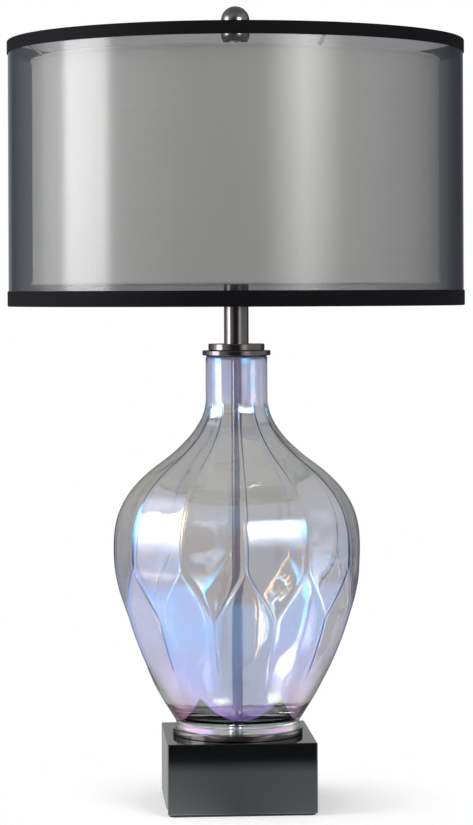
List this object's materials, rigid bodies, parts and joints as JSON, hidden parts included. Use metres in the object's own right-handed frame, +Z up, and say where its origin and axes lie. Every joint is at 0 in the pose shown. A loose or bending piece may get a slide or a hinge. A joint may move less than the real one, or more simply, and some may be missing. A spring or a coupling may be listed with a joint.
{
  "type": "table lamp",
  "caption": "Table lamp with a square gloss block base, a faceted pearly glass body and a layered drum shade of sheer fabric over a satin liner, held on a harp by a ball finial.",
  "frame": {"origin": "middle of the underside of the felt pad", "axes": "+Z up along the stem, -Y to the front, +X to the right seen from the front"},
  "size_m": [0.4335, 0.4336, 0.7578],
  "materials": {
    "block_gloss": "gloss black",
    "cast_weight": "as cast",
    "sheet_steel": "plain",
    "felt": "pressed felt",
    "rubber": "moulded",
    "brass": "plain",
    "bright_nickel": "polished plate",
    "black_nickel": "polished dark plate",
    "lustre_glass": "clear with a pearly lustre",
    "card": "pressed card",
    "moulded_black": "moulded",
    "cap_metal": "plain",
    "opal": "opal white",
    "brass_wire": "plated wire",
    "satin": "pale satin on a stiff liner",
    "sheer": "dark sheer weave",
    "trim": "black ribbon"
  },
  "bodies": {
    "lamp": {"base_block": "block_gloss", "ballast_weight": "cast_weight", "bottom_plate": "sheet_steel", "bottom_screws": "sheet_steel", "lock_washer": "sheet_steel", "socket_set_screw": "sheet_steel", "felt_pad": "felt", "cord_bush": "rubber", "lower_gasket": "rubber", "upper_gasket": "rubber", "pipe_nut": "brass", "screw_shell": "brass", "centre_contact": "brass", "terminal_screws": "brass", "lamp_pipe": "bright_nickel", "seat_ring": "black_nickel", "vase_cap": "black_nickel", "neck_tube": "black_nickel", "harp_saddle": "black_nickel", "harp_wire": "black_nickel", "harp_stud": "black_nickel", "socket_cap": "black_nickel", "socket_shell": "black_nickel", "glass_body": "lustre_glass", "socket_insulator": "card", "socket_core": "moulded_black"},
    "sleeve_left": {"harp_sleeve_left": "black_nickel"},
    "sleeve_right": {"harp_sleeve_right": "black_nickel"},
    "switch": {"switch_shaft": "brass", "switch_knob": "moulded_black"},
    "bulb": {"bulb_base": "cap_metal", "bulb_globe": "opal"},
    "shade": {"spider_hub": "brass_wire", "spider_arms": "brass_wire", "inner_top_ring": "brass_wire", "inner_bottom_ring": "brass_wire", "outer_top_ring": "brass_wire", "outer_bottom_ring": "brass_wire", "ring_links": "brass_wire", "inner_liner": "satin", "outer_sheer": "sheer", "top_trim": "trim", "bottom_trim": "trim"},
    "finial": {"finial": "black_nickel"}
  },
  "joints": [
    {"name": "switch_turn", "type": "hinge", "parent": "lamp", "child": "switch", "pos_m": [0, -0.0185, 0.525], "axis": [0, -1, 0], "continuous": true},
    {"name": "bulb_turn", "type": "hinge", "parent": "lamp", "child": "bulb", "pos_m": [0, 0, 0.558], "axis": [0, 0, 1], "continuous": true},
    {"name": "sleeve_left_lift", "type": "slide", "parent": "lamp", "child": "sleeve_left", "axis": [0, 0, 1], "range_m": [0, 0.012]},
    {"name": "sleeve_right_lift", "type": "slide", "parent": "lamp", "child": "sleeve_right", "axis": [0, 0, 1], "range_m": [0, 0.012]},
    {"name": "shade_lift", "type": "slide", "parent": "lamp", "child": "shade", "axis": [0, 0, 1], "range_m": [0, 0.26]},
    {"name": "finial_turn", "type": "hinge", "parent": "shade", "child": "finial", "pos_m": [0, 0, 0.738], "axis": [0, 0, 1], "continuous": true}
  ]
}
